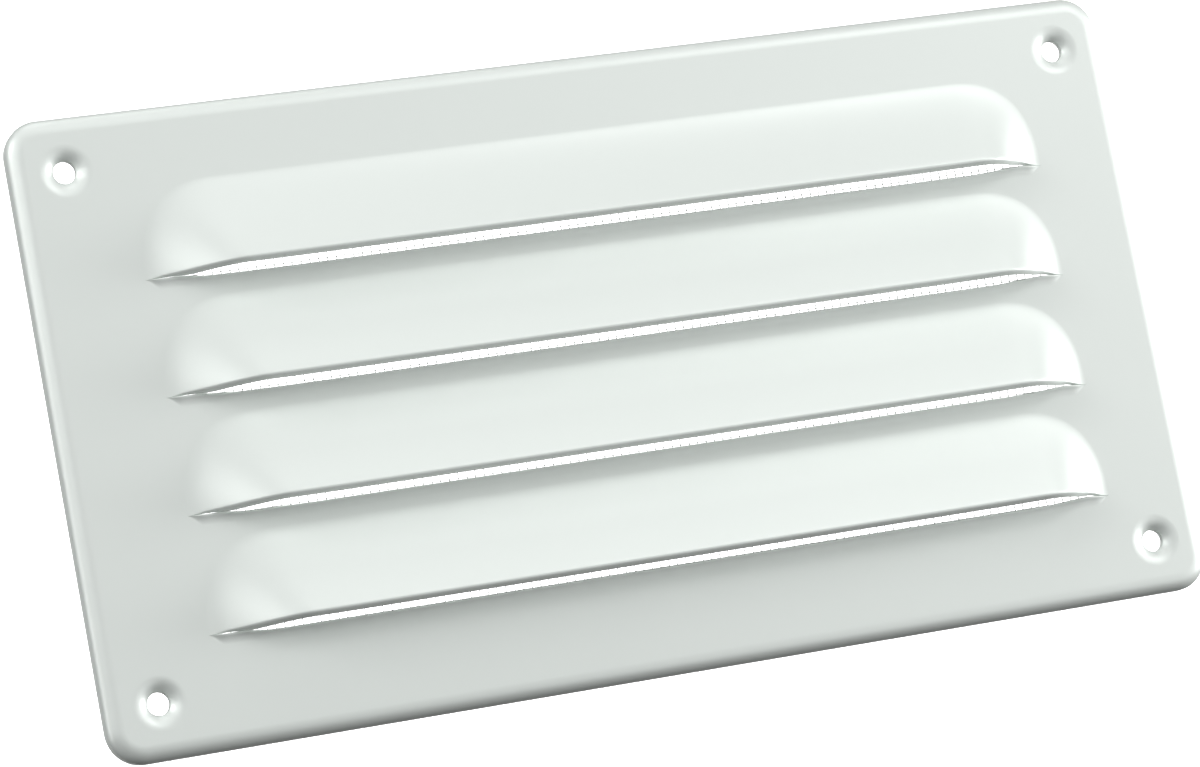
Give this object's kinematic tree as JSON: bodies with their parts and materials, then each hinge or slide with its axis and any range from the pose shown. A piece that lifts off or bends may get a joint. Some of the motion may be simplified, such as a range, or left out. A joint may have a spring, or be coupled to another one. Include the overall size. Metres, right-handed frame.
{
  "type": "louvred roof vent cover",
  "caption": "Shallow white pressed-sheet vent plate with long louvre hoods, dimpled corner screw holes, and an insect screen and foam tape behind it; lets air out and keeps rain off.",
  "frame": {"origin": "centre of the pan's outline, on the plane of the roof under its rim", "axes": "+Z out of the face, +X along the louvres, louvres open towards -Y"},
  "size_m": [0.235, 0.127, 0.0115],
  "materials": {
    "white_powder_coat": "satin white powder coat on pressed aluminium sheet",
    "white_screen_yarn": "white vinyl-coated woven yarn",
    "bar_aluminium": "mill finish",
    "stud_aluminium": "as drawn",
    "spring_steel": "zinc plated spring steel",
    "foam_tape": "black closed-cell foam"
  },
  "bodies": {
    "root": {"louvre_plate": "white_powder_coat", "insect_screen": "white_screen_yarn", "weld_studs": "stud_aluminium", "push_on_nuts": "spring_steel", "screen_bar_top": "bar_aluminium", "screen_bar_bottom": "bar_aluminium", "screen_bar_left": "bar_aluminium", "screen_bar_right": "bar_aluminium", "foam_strip_top": "foam_tape", "foam_strip_bottom": "foam_tape", "foam_strip_left": "foam_tape", "foam_strip_right": "foam_tape"}
  },
  "joints": []
}
